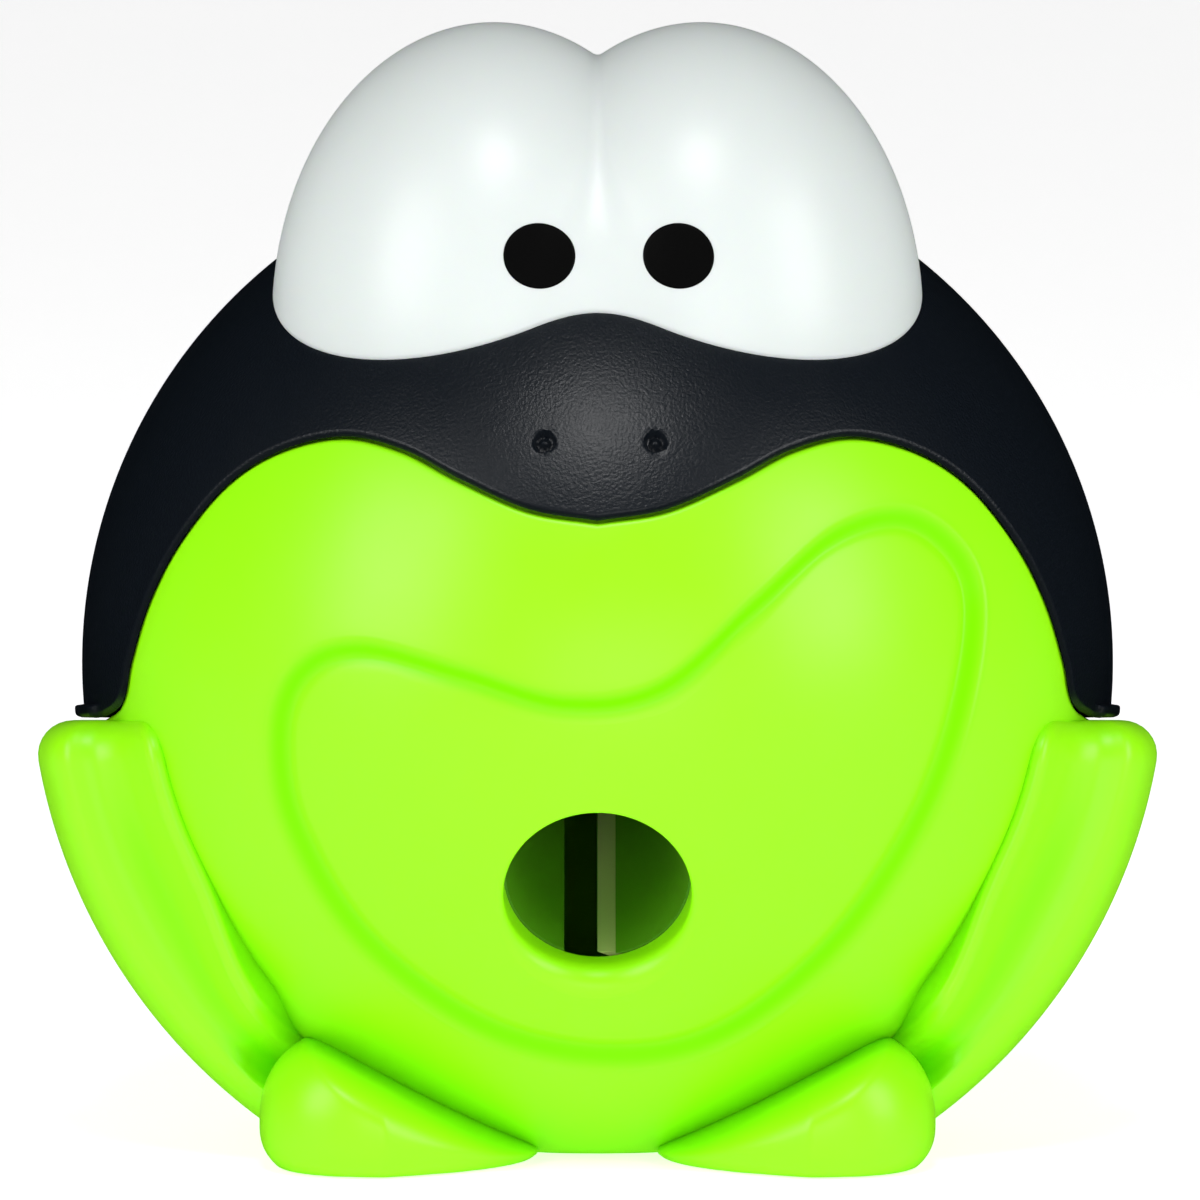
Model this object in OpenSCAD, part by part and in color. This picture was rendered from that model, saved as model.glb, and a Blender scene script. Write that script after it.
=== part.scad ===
// Desk pencil sharpener in the shape of a round cartoon frog, with a shavings tub.
// The hood lifts on a rear hinge. The origin is on the table, under the middle of the ball.
// The front faces -Y and +Z is up. The ball, its face and its hinge tip back together.

/* [Ball] */
// Outer radius of the hood, which sets the size of the ball
ball_r = 25; // [22:0.5:30]
// How much of the ball's bottom is cut off flat, as a height
base_cut = 2.1; // [1:0.1:3]
// How far the green body lies below the surface of the hood
body_sink = 0.4; // [0.2:0.1:0.8]
// Thickness of the body's wall
body_wall = 2.35; // [1.6:0.05:3]
// Thickness of the tub's floor
floor_t = 1.5; // [1:0.1:3]
// How far the seam between the front and the back lies behind the middle
seam_y = 0.8; // [0.5:0.1:1]
// How far the ball tips back, so that the face looks up a little, in degrees
face_tilt = 7; // [0:1:15]

/* [Hood] */
// Thickness of the hood's wall
hood_wall = 1.2; // [0.9:0.1:1.5]
// Gap between the hood and the collar that it closes over
lid_gap = 0.5; // [0.4:0.05:0.8]
// How far the hood's lower edge lies below the middle of the ball
part_drop = 2.7; // [1:0.1:5]
// Gap between the hood's lower edge and the body
part_gap = 0.3; // [0.2:0.05:0.5]
// How far the rim stands out from the hood's lower edge
rim_out = 0.45; // [0.2:0.05:1]
// Height of that rim
rim_h = 0.62; // [0.4:0.02:1.2]
// Gap between the edge of the hood's opening and the raised face
face_gap = 0.3; // [0.2:0.05:0.5]
// Height of the collar's top edge above the middle of the ball
collar_top = 13.2; // [12:0.1:15]
// Radius of each nostril dimple
nostril_r = 0.62; // [0.4:0.02:1]
// Distance between the two nostrils
nostril_pitch = 5.35; // [3:0.05:8]
// Height of the nostrils above the middle of the ball
nostril_h = 10.55; // [9:0.05:12]

/* [Eyes] */
// Half width of one eye dome, like all the eyes' sizes for a ball with a radius of 25
eye_r = 10.7; // [9:0.1:12]
// Height of an eye dome from its widest line to its top
eye_h = 14.3; // [12:0.1:17.5]
// Distance from the middle plane to the middle of each dome
eye_side = 5; // [4:0.1:7]
// How far the domes sit in front of the middle of the ball
eye_front = 8.5; // [7.5:0.1:9.5]
// Height of the domes' widest line above the middle of the ball
eye_up = 16.6; // [14:0.1:19]
// Thickness of the domes' wall
eye_wall = 1.3; // [0.9:0.1:2]
// Gap between the eye shell and the hood that it sits on
eye_seat_gap = 0.04; // [0.02:0.01:0.2]
// Radius of each pupil
pupil_r = 1.66; // [1:0.02:2.5]
// Sideways place of the left pupil's middle
pupil_left_x = -2.75; // [-4:0.05:-2]
// Sideways place of the right pupil's middle
pupil_right_x = 3.9; // [2:0.05:5]
// Height of the pupils above the middle of the ball
pupil_up = 19.55; // [18:0.05:22]
// Radius of the pegs that are staked inside the hood
peg_r = 1.1; // [0.8:0.1:1.6]

/* [Mouth] */
// Depth of the mouth's recess
mouth_depth = 0.7; // [0.4:0.1:1.2]
// Radius of the pencil hole
bore_r = 4.5; // [4.1:0.05:5.5]
// How far the pencil hole points below the horizontal, in degrees
bore_pitch = 21.5; // [15:0.5:26]

/* [Arms and feet] */
// How far the arms stand out sideways from the hood
arm_out = 2.7; // [2:0.1:4]
// How far the arms' inner edge lies inside the outline of the hood
arm_in = 4.1; // [3:0.1:5]
// Length of each foot along its long axis, from its middle, for a ball with a radius of 25
foot_long = 7.8; // [6.5:0.1:9]
// Half thickness of each foot, for a ball with a radius of 25
foot_r = 4.3; // [3.5:0.1:5.5]

/* [Sharpener] */
// Radius of the cone at its wide end
cone_r = 4.4; // [4:0.05:4.9]
// Half angle of the cone, in degrees
cone_half_angle = 11.5; // [10:0.5:13]
// Width of the blade, from its edge to its back
blade_w = 5.6; // [5:0.1:6.5]
// Length of the blade
blade_l = 17.6; // [15:0.1:19]
// Thickness of the blade
blade_t = 0.55; // [0.4:0.05:0.8]
// Width of the gap that the shavings leave by
chip_gap = 1.6; // [1:0.1:2]
// Width of the blade that shows inside the cone
blade_show = 0.87; // [0.5:0.01:1]
// Radius of the blade screw's shank
screw_r = 0.9; // [0.7:0.05:1.1]

/* [Hinge] */
// Distance of the hinge pin behind the hood's surface
hinge_out = 1.9; // [1.6:0.1:3]
// Outer radius of the hinge knuckles
knuckle_r = 1.8; // [1.5:0.1:2.2]
// Radius of the hinge pin
pin_r = 0.8; // [0.5:0.05:1]
// Radial clearance of the pin in the knuckles
pin_gap = 0.04; // [0.02:0.01:0.1]
// Half width of the middle knuckle
mid_knuckle_half = 4; // [3:0.5:6]
// Length of each outer knuckle
side_knuckle_l = 4; // [3:0.5:6]

/* [Hidden] */

centre_h = ball_r - base_cut;
body_r = ball_r - body_sink;
cavity_r = body_r - body_wall;
hood_inner_r = ball_r - hood_wall;
collar_r = hood_inner_r - lid_gap;
part_z = -part_drop;
body_top_z = part_z - part_gap;
mouth_r = body_r - mouth_depth;
big = 80;
// How far in front of the middle the raised face and the collar start.
face_depth = 5;
collar_depth = 8;

green = "#9bf20a";
black = "#17181c";
white = "#f4f6f5";
steel = "#b9bdb8";

// Smooth line through hand-picked points: four steps of a Catmull-Rom curve between neighbours.
steps = 4;
function spline(p0, p1, p2, p3, t) =
    0.5 * (2*p1 + (p2 - p0)*t + (2*p0 - 5*p1 + 4*p2 - p3)*t*t + (3*p1 - p0 - 3*p2 + p3)*t*t*t);
function smooth_closed(p) = let (n = len(p))
    [for (i = [0:n - 1], k = [0:steps - 1])
        spline(p[(i + n - 1) % n], p[i], p[(i + 1) % n], p[(i + 2) % n], k/steps)];
function smooth_open(p) = let (n = len(p)) concat(
    [for (i = [0:n - 2], k = [0:steps - 1])
        spline(p[max(i - 1, 0)], p[i], p[i + 1], p[min(i + 2, n - 1)], k/steps)],
    [p[n - 1]]);

// The line of points moved sideways by d, to the left of the way it runs.
function shifted(p, d) = let (n = len(p))
    [for (i = [0:n - 1]) let (t = p[min(i + 1, n - 1)] - p[max(i - 1, 0)])
        p[i] + d*[-t[1], t[0]]/norm(t)];

function mirrored(p) = [for (i = [len(p) - 1:-1:0]) [-p[i][0], p[i][1]]];

// Hand-picked lines and places are for a ball with a radius of 25 and grow with it.
grow = ball_r/25;

// Edge of the hood's opening, right half, from under the nose to the shoulder.
brow_points = [[0, 6.85], [3.3, 7.4], [6.6, 8.85], [9.4, 10.3], [12.3, 10.95], [15.4, 10.25], [18, 8.6],
             [20.3, 5.8], [21.8, 2.9], [22.7, 0], [22.95, -1.4], [23.3, -2.2], [24.1, -2.72]];
brow_line = grow*concat([for (i = [0:len(brow_points) - 2]) brow_points[i]], [[24.1, part_z/grow - 0.02]]);

// Outline of the crooked mouth, clockwise from the top of its left corner.
mouth_line = grow*[[-11, 0.8], [-6.3, -0.4], [-1.5, -1.75], [3, -1], [7.4, 2.9], [11.4, 6.3], [15, 6.9],
              [17.7, 4.2], [17.7, -0.5], [15.7, -6.9], [11.6, -13.2], [6.2, -17.6], [0.6, -18.8],
              [-5.5, -17.4], [-11.2, -13.2], [-14.6, -7.6], [-15.2, -2.8], [-13.8, 0]];

module ball_frame() translate([0, 0, centre_h]) children();
module face_frame() ball_frame() rotate([-face_tilt, 0, 0]) children();
// +Z runs outwards along the pencil hole, from the middle of the ball.
module bore_frame() ball_frame() rotate([90 + bore_pitch, 0, 0]) children();

// A prism of the face's front view, from far in front to a little in front of the middle.
module seen_from_front(points) rotate([90, 0, 0]) linear_extrude(height = big) polygon(points);

module below(z) translate([-big/2, -big/2, z - big]) cube(big);
module above(z) translate([-big/2, -big/2, z]) cube(big);
module before(y) translate([-big/2, y - big, -big/2]) cube(big);
module behind(y) translate([-big/2, y, -big/2]) cube(big);

module ball(r) sphere(r = r, $fn = 96);

// Everything inside the edge of the hood's opening, made smaller by inset.
module face_opening(inset) {
    half = shifted(smooth_open(brow_line), -inset);
    end_x = half[len(half) - 1][0];
    below_edge = [[end_x - 0.5, part_z - 2], [end_x - 4, part_z - 5]];
    right = concat(half, below_edge);
    seen_from_front(concat(mirrored(right), right));
}

// ---- green body ----

// Both arms, rings around the face's axis that run from under the hood to the feet.
arm_r = ball_r + arm_out;
arm_inner_r = ball_r - arm_in;
arm_turn = 62;
arm_root_r = cavity_r - 2;
arm_section = [[arm_root_r, -9], [arm_inner_r, -12.2], [arm_inner_r + 0.35, -12.95], [arm_inner_r + 1, -13.1],
               [arm_r - 2.9, -11.1], [arm_r - 1.6, -9.9], [arm_r - 0.6, -8.2], [arm_r - 0.1, -6.4],
               [arm_r, -4.6], [arm_r - 0.3, -2.8], [arm_r - 1.1, -1.4], [arm_r - 2.4, -0.7],
               [arm_root_r, -0.5]];
module arms() for (side = [-1, 1]) rotate([-90, 0, 0]) rotate([0, 0, side > 0 ? 0 : 180 - arm_turn])
    rotate_extrude(angle = arm_turn, $fn = 120) polygon(arm_section);

// One foot, an egg whose long axis rises outwards.
foot_place = grow*[9.8, -12, -24.4];
foot_rise = 35;
foot_points = [for (a = [0:10:180]) grow*[foot_r*sin(a), -foot_long*cos(a)]];
module foot(side) translate([side*foot_place[0], foot_place[1], foot_place[2]])
    rotate([0, side*(90 - foot_rise), 0]) rotate_extrude($fn = 72) polygon(foot_points);

// The ball with its arms and feet, flat underneath.
module body_outside() difference() {
    union() {
        ball_frame() ball(body_r);
        face_frame() intersection() {
            arms();
            below(body_top_z);
        }
        face_frame() for (side = [-1, 1]) foot(side);
    }
    below(0);
}

module cavity() intersection() {
    ball_frame() ball(cavity_r);
    above(floor_t);
}

// Joints between the two halves of the body: bosses with a peg in a socket.
boss_r = 2.2;
boss_l = 6;
boss_root = 0.6;
boss_place_r = cavity_r + 0.2 - boss_r;
peg_l = 3;
join_r = 1;
join_gap = 0.03;
socket_spare = 0.4;
boss_angles = [-22, -60, -120, -158];
module at_bosses() ball_frame() for (a = boss_angles)
    translate([boss_place_r*cos(a), seam_y, boss_place_r*sin(a)]) children();

// Where the sharpener block sits.
wall_face_s = mouth_r - 2.6;
spigot_r = 6;
ring_t = 1.4;
ring_end_s = wall_face_s - 2.4;
ring_l = 2.9;
wall_disc_t = 1.2;
flange_t = 1.3;
flange_half = 9.2;
flange_top = 5.8;
fit_gap = 0.1;
hook_t = 1.2;
hook_half = 2.4;
ring_cut_y = -3.3;
blade_room = 0.2;

module front_shell() color(green) difference() {
    union() {
        // tub, face and collar
        difference() {
            body_outside();
            behind(seam_y);
            face_frame() difference() {
                above(body_top_z);
                union() {
                    intersection() {
                        face_opening(face_gap);
                        before(-face_depth);
                    }
                    intersection() {
                        ball(collar_r);
                        before(-collar_depth);
                    }
                }
            }
            face_frame() above(grow*collar_top);
            mouth_recess();
            cavity();
        }
        // seat for the sharpener block
        bore_frame() {
            translate([0, 0, wall_face_s]) cylinder(r = spigot_r + 0.3, h = wall_disc_t, $fn = 96);
            difference() {
                translate([0, 0, ring_end_s]) cylinder(r = spigot_r + fit_gap + ring_t, h = ring_l, $fn = 96);
                translate([0, 0, ring_end_s - 1])
                    cylinder(r = spigot_r + fit_gap, h = wall_face_s - ring_end_s + 1, $fn = 96);
                translate([-big/2, ring_cut_y - big, 0]) cube([big, big, wall_face_s]);
            }
            for (side = [-1, 1]) hook(side);
        }
        intersection() {
            at_bosses() rotate([90, 0, 0]) cylinder(r = boss_r, h = boss_l, $fn = 48);
            ball_frame() ball(cavity_r + boss_root);
        }
        at_bosses() translate([0, peg_l, 0]) rotate([90, 0, 0]) cylinder(r = join_r, h = peg_l + 1, $fn = 36);
    }
    pencil_hole();
    // room for the front end of the blade
    bore_frame() seat_frame() translate([-blade_room, -blade_t - blade_room, -1])
        cube([blade_w + 2*blade_room, blade_t + 2*blade_room, 1.4]);
}

// One of the two hooks that snap behind the sharpener block's flange.
hook_l = 4;
hook_lip = 0.8;
module hook(side) {
    inner = flange_half + fit_gap;
    under = ring_end_s - flange_t - 2*fit_gap;
    translate([side*(inner + hook_t/2), 0, under + hook_l/2 - hook_lip])
        cube([hook_t, 2*hook_half, hook_l], center = true);
    translate([side*(inner + hook_t/2 - hook_lip/2), 0, under - hook_lip/2])
        cube([hook_t + hook_lip, 2*hook_half, hook_lip], center = true);
}

module mouth_recess() face_frame() difference() {
    intersection() {
        seen_from_front(smooth_closed(mouth_line));
        ball(body_r + 2);
    }
    ball(mouth_r);
}

module pencil_hole() bore_frame() translate([0, 0, wall_face_s - 0.5]) cylinder(r = bore_r, h = 6, $fn = 96);

module back_shell() color(green) difference() {
    union() {
        difference() {
            body_outside();
            before(seam_y);
            face_frame() above(body_top_z);
            cavity();
        }
        intersection() {
            at_bosses() rotate([-90, 0, 0]) cylinder(r = boss_r, h = boss_l, $fn = 48);
            ball_frame() ball(cavity_r + boss_root);
        }
        hinge_frame() {
            rotate([0, 90, 0]) cylinder(r = knuckle_r, h = 2*mid_knuckle_half, center = true, $fn = 60);
            translate([-mid_knuckle_half, body_r - tub_web_in - hinge_back, -knuckle_r])
                cube([2*mid_knuckle_half, hinge_back - body_r + tub_web_in, knuckle_r - part_gap]);
            for (side = [-1, 1]) translate([side*side_knuckle_x, -stop_y - stop_t/2, -stop_z])
                cube([side_knuckle_l, stop_t, stop_h], center = true);
        }
    }
    at_bosses() translate([0, -1, 0]) rotate([-90, 0, 0])
        cylinder(r = join_r + join_gap, h = 1 + peg_l + socket_spare, $fn = 36);
    hinge_frame() pin_hole();
}

// ---- hinge ----

module hinge_frame() face_frame() translate([0, hinge_back, part_z]) children();
module pin_hole() rotate([0, 90, 0]) cylinder(r = pin_r + pin_gap, h = big, center = true, $fn = 48);
hinge_back = ball_r + hinge_out;
hinge_gap = 0.3;
swing_gap = 0.25;
// How far the webs of the knuckles reach in under the surfaces of the hood and the tub.
web_in = 3;
tub_web_in = 1.2;
slot_half = mid_knuckle_half + hinge_gap;
side_knuckle_x = slot_half + side_knuckle_l/2;
// Stop blocks on the back shell catch a heel on each outer knuckle when the hood is wide open.
stop_y = knuckle_r + 0.4;
stop_t = 3.6;
stop_h = 2;
stop_z = knuckle_r + 1.6;
heel_l = 3.3;
heel_t = 1.4;
heel_angle = -17;
pin_half = slot_half + side_knuckle_l + 0.4;

module hinge_pin() color(steel) hinge_frame() rotate([0, 90, 0]) union() {
    cylinder(r = pin_r, h = 2*pin_half, center = true, $fn = 48);
    translate([0, 0, pin_half]) cylinder(r = pin_r + 0.35, h = 0.5, $fn = 48);
}

// ---- sharpener ----

cone_end_s = wall_face_s - 0.05;
block_back_s = wall_face_s - 18.9;
front_half = 7;
back_half = 5.6;
block_under = 6;
tail_r = 0.8;
cone_l = (cone_r - tail_r)/tan(cone_half_angle);
blade_bite = 0.06;
blade_front = 0.15;
bevel_w = 1.1;
screw_x = 3.7;
screw_back = 9.5;
screw_head_r = 1.9;
screw_head_h = 1;
screw_l = 4.2;
slot_w = 0.5;
slot_t = 0.5;

// Lies along the floor of the cone: +Z runs outwards along it and +Y points to the cone's axis.
module seat_frame() translate([0, -cone_r, cone_end_s]) rotate([cone_half_angle, 0, 0]) children();

module sharpener_block() color(green) bore_frame() difference() {
    union() {
        translate([0, 0, ring_end_s - 1]) cylinder(r = spigot_r, h = cone_end_s - ring_end_s + 1, $fn = 96);
        translate([-flange_half, -flange_top, ring_end_s - flange_t - fit_gap/2])
            cube([2*flange_half, 2*flange_top, flange_t]);
        intersection() {
            rotate([90, 0, 0]) translate([0, 0, -block_under]) linear_extrude(height = 2*block_under)
                polygon([[-front_half, ring_end_s - 0.5], [front_half, ring_end_s - 0.5],
                         [back_half, block_back_s], [-back_half, block_back_s]]);
            rotate([90, 0, 90]) translate([0, 0, -8]) linear_extrude(height = 16)
                polygon([[-block_under, ring_end_s], [5.5, ring_end_s], [3.4, block_back_s],
                         [-block_under, block_back_s]]);
        }
    }
    translate([0, 0, cone_end_s - cone_l]) cylinder(r1 = tail_r, r2 = cone_r, h = cone_l, $fn = 96);
    translate([0, 0, block_back_s - 1])
        cylinder(r = tail_r, h = cone_end_s - cone_l - block_back_s + 1.01, $fn = 36);
    seat_frame() {
        translate([-big/2, -big + blade_bite, -big/2]) cube(big);
        translate([-chip_gap, -1, -13]) cube([chip_gap + blade_show, 1.8, 20]);
        translate([-chip_gap*0.6, -1, -blade_l]) cube([chip_gap*0.6 + blade_show*0.6, 1.6, 10]);
        translate([screw_x, 0, -screw_back]) rotate([-90, 0, 0])
            cylinder(r = screw_r + join_gap, h = screw_l, $fn = 36);
    }
}

module blade() color(steel) bore_frame() seat_frame() difference() {
    translate([0, blade_bite, -blade_front]) rotate([0, 180, 0]) mirror([1, 0, 0])
        linear_extrude(height = blade_l)
            polygon([[0, 0], [blade_w, 0], [blade_w, -blade_t], [bevel_w, -blade_t]]);
    translate([screw_x, -2, -screw_back]) rotate([-90, 0, 0]) cylinder(r = screw_r + 0.15, h = 4, $fn = 36);
}

module blade_screw() color(steel) bore_frame() seat_frame()
    translate([screw_x, blade_bite - blade_t, -screw_back]) rotate([-90, 0, 0]) difference() {
        union() {
            translate([0, 0, -screw_head_h]) cylinder(r = screw_head_r, h = screw_head_h, $fn = 48);
            cylinder(r = screw_r, h = screw_l - 0.2, $fn = 36);
        }
        translate([-screw_head_r - 1, -slot_w/2, -screw_head_h - 1])
            cube([2*screw_head_r + 2, slot_w, 1 + slot_t]);
    }

// ---- head ----

// One eye dome, an egg around the face's upright axis.
dome_r = grow*eye_r;
dome_h = grow*eye_h;
dome_place = grow*[eye_side, -eye_front, eye_up];
function dome_points(r, h) = [for (i = [0:24]) [r*sin(i*7.5), h*cos(i*7.5)]];
module domes(less) for (side = [-1, 1])
    translate([side*dome_place[0], dome_place[1], dome_place[2]])
        rotate_extrude($fn = 96) polygon(dome_points(dome_r - less, dome_h - less));

// Pegs run from inside each dome through the hood, square to the hood's surface.
peg_lean = 16;
peg_forward = 18;
peg_foot_r = peg_r + 0.8;
peg_foot_t = 0.8;
peg_gap = 0.05;
module at_eye_pegs() for (side = [-1, 1])
    rotate([peg_forward, 0, 0]) rotate([0, side*peg_lean, 0]) children();

module eye_shell() color(white) face_frame() difference() {
    union() {
        difference() {
            domes(0);
            domes(eye_wall);
            ball(ball_r + eye_seat_gap);
        }
        intersection() {
            at_eye_pegs() translate([0, 0, ball_r - 5]) cylinder(r = peg_r, h = 14, $fn = 36);
            union() {
                domes(eye_wall/2);
                ball(ball_r + 1);
            }
            difference() {
                ball(big/2);
                ball(hood_inner_r - peg_foot_t);
            }
        }
        at_eye_pegs() translate([0, 0, hood_inner_r - 1]) cylinder(r = peg_foot_r, h = peg_foot_t, $fn = 36);
    }
    at_pupil(pupil_left_x) pupil_pocket();
    at_pupil(pupil_right_x) pupil_pocket();
}

// Pupils are discs let into the front of the domes.
pupil_t = 0.8;
pocket_t = 0.75;
pupil_gap = 0.02;
module at_pupil(x) {
    out = grow*x - sign(x)*dome_place[0];
    up = (grow*pupil_up - dome_place[2])/dome_h;
    depth = sqrt(dome_r*dome_r*(1 - up*up) - out*out);
    translate([grow*x, dome_place[1] - depth, grow*pupil_up])
        rotate([0, 0, atan(out/depth)])
            rotate([90 - atan(up*dome_r/(dome_h*sqrt(1 - up*up))), 0, 0]) children();
}
module pupil_pocket() translate([0, 0, -pocket_t]) cylinder(r = pupil_r + pupil_gap, h = 3, $fn = 60);
module pupil(x) color(black) face_frame() at_pupil(x)
    translate([0, 0, 0.01 - pocket_t]) cylinder(r = pupil_r, h = pupil_t, $fn = 60);
module pupil_left() pupil(pupil_left_x);
module pupil_right() pupil(pupil_right_x);

module hood() color(black) difference() {
    union() {
        difference() {
            union() {
                ball_frame() ball(ball_r);
                face_frame() translate([0, 0, part_z]) cylinder(r = ball_r + rim_out, h = rim_h, $fn = 120);
            }
            face_frame() below(part_z);
        }
        hinge_frame() for (side = [-1, 1]) {
            translate([side*side_knuckle_x, 0, 0]) {
                rotate([0, 90, 0]) cylinder(r = knuckle_r, h = side_knuckle_l, center = true, $fn = 60);
                translate([-side_knuckle_l/2, ball_r - web_in - hinge_back, 0])
                    cube([side_knuckle_l, hinge_back - ball_r + web_in, knuckle_r]);
                rotate([heel_angle, 0, 0]) translate([-side_knuckle_l/2, 0, -heel_t/2])
                    cube([side_knuckle_l, heel_l, heel_t]);
            }
        }
    }
    ball_frame() ball(hood_inner_r);
    face_frame() {
        face_opening(0);
        for (side = [-1, 1]) nostril(side);
        at_eye_pegs() translate([0, 0, hood_inner_r - 3]) cylinder(r = peg_r + peg_gap, h = 8, $fn = 36);
    }
    hinge_frame() {
        rotate([0, 90, 0])
            cylinder(r = knuckle_r + swing_gap, h = 2*slot_half, center = true, $fn = 60);
        pin_hole();
    }
}

module nostril(side) {
    x = side*grow*nostril_pitch/2;
    up = grow*nostril_h;
    translate([x, -sqrt(ball_r*ball_r - x*x - up*up), up]) sphere(r = nostril_r, $fn = 36);
}

front_shell();
back_shell();
sharpener_block();
blade();
blade_screw();
hinge_pin();
hood();
eye_shell();
pupil_left();
pupil_right();
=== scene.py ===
"""Looks of a desk pencil sharpener shaped like a round cartoon frog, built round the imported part.

Shapes are worked out in millimetres from the middle of the ball and turned into metres in the
part's own frame, whose origin is on the table. The face looks along -Y and tips up a little.
"""

import logging
import math
from dataclasses import dataclass, field
from enum import Enum

import bpy
import numpy as np
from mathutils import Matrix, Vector
from numpy.typing import NDArray


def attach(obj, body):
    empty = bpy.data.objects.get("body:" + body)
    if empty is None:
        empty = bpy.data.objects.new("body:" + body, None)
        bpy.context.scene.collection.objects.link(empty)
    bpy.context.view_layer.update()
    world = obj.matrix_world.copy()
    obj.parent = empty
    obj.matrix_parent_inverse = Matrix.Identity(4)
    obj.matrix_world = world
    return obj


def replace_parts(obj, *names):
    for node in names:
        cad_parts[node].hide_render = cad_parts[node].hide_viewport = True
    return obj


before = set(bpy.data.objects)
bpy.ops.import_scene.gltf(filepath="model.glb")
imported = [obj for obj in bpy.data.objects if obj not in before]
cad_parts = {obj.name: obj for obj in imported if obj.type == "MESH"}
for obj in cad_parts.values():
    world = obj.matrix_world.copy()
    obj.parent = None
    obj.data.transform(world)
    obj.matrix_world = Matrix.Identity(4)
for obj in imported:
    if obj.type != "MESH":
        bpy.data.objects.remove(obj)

Array = NDArray[np.float64]
Whole = NDArray[np.int64]
Colour = tuple[float, float, float]
MM = 0.001
CRISP = 40.0  # edges that bend more than this many degrees stay crisp
LOG = logging.getLogger("sharpener")


class Side(Enum):
    """The two sides of the object, as the sign of X."""

    LEFT = -1
    RIGHT = 1


class Body(Enum):
    """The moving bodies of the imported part."""

    BASE = "base"
    HEAD = "head"


@dataclass(frozen=True)
class Ball:
    """Main sizes of the ball that every moulding shares, in millimetres and degrees."""

    centre_h: float = 22.9
    hood_r: float = 25.0
    hood_in: float = 23.8
    body_r: float = 24.6
    collar_r: float = 23.3
    cavity_r: float = 22.25
    mouth_r: float = 23.9
    floor_t: float = 1.5
    part_z: float = -2.7
    body_top: float = -2.95
    seam_y: float = 0.8
    tilt: float = 7.0
    bore_pitch: float = 21.5


BALL = Ball()


# ---- points and frames ----


def turned(points: Array, degrees: float) -> Array:
    """Points turned about X: y and z mix by the cosine and sine of the angle.

    Args:
        points: Positions, with x, y and z in the last axis.
        degrees: The turn, by the right-hand rule.

    Returns:
        The turned positions.
    """
    c, s = math.cos(math.radians(degrees)), math.sin(math.radians(degrees))
    x, y, z = np.moveaxis(points, -1, 0)
    return np.stack([x, c * y - s * z, s * y + c * z], axis=-1)


def from_face(points: Array) -> Array:
    """Points of the tipped face's frame, in the ball's frame."""
    return turned(points, -BALL.tilt)


def on_face(xv: Array, radius: float) -> Array:
    """Points of the face's front view, dropped onto the front of a sphere.

    The depth is the root of the radius squared less x squared and height squared.

    Args:
        xv: Sideways and upward places in the front view, N by 2.
        radius: The sphere's radius.

    Returns:
        Positions in the tipped face's frame, N by 3.
    """
    x, v = xv[:, 0], xv[:, 1]
    depth = np.sqrt(np.maximum(radius**2 - x**2 - v**2, 0.0))
    return np.stack([x, -depth, v], axis=-1)


def on_front(xv: Array, radius: float) -> Array:
    """The same points in the ball's frame."""
    return from_face(on_face(xv, radius))


def smooth_line(points: Array, steps: int, closed: bool) -> Array:
    """A Catmull-Rom curve: between two points, a cubic of t whose slopes come from their neighbours.

    Args:
        points: The points it passes through, N by 2 or N by 3.
        steps: Samples between two points.
        closed: Whether it ends where it starts.

    Returns:
        The samples, one row each.
    """
    if closed:
        p0, p1, p2, p3 = (np.roll(points, k, axis=0) for k in (1, 0, -1, -2))
    else:
        padded = np.concatenate([2 * points[:1] - points[1:2], points, 2 * points[-1:] - points[-2:-1]])
        p0, p1, p2, p3 = padded[:-3], padded[1:-2], padded[2:-1], padded[3:]
    t = (np.arange(steps) / steps)[None, :, None]
    p0, p1, p2, p3 = (p[:, None, :] for p in (p0, p1, p2, p3))
    bend, twist = 2 * p0 - 5 * p1 + 4 * p2 - p3, 3 * p1 - p0 - 3 * p2 + p3
    cubic = 0.5 * (2 * p1 + (p2 - p0) * t + bend * t**2 + twist * t**3)
    line = cubic.reshape(-1, points.shape[1])
    return line if closed else np.concatenate([line, points[-1:]])


def moved_aside(line: Array, distance: float) -> Array:
    """An open line moved to the left of the way it runs: each point goes along its own normal.

    Args:
        line: The line's points, N by 2.
        distance: How far it moves.

    Returns:
        The moved points.
    """
    run = np.gradient(line, axis=0)
    normal = np.stack([-run[:, 1], run[:, 0]], axis=-1)
    return line + distance * normal / np.linalg.norm(normal, axis=1, keepdims=True)


def smoothstep(value: Array, low: float, high: float) -> Array:
    """0 below low, 1 above high, and a smooth S of the fifth power between them."""
    t = np.clip((value - low) / (high - low), 0.0, 1.0)
    return t**3 * (t * (6 * t - 15) + 10)


def soft_min(a: Array, b: Array, width: Array | float) -> Array:
    """The smaller of two values, with the corner between them rounded over a width, which may vary."""
    h = np.maximum(width - np.abs(a - b), 0.0) / width
    return np.minimum(a, b) - h**2 * width / 4


def eased(count: int, both: float) -> Array:
    """Numbers from 0 to 1, packed closer at both ends by the share both."""
    t = np.linspace(0.0, 1.0, count)
    return (1 - both) * t + both * 0.5 * (1 - np.cos(math.pi * t))


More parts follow.
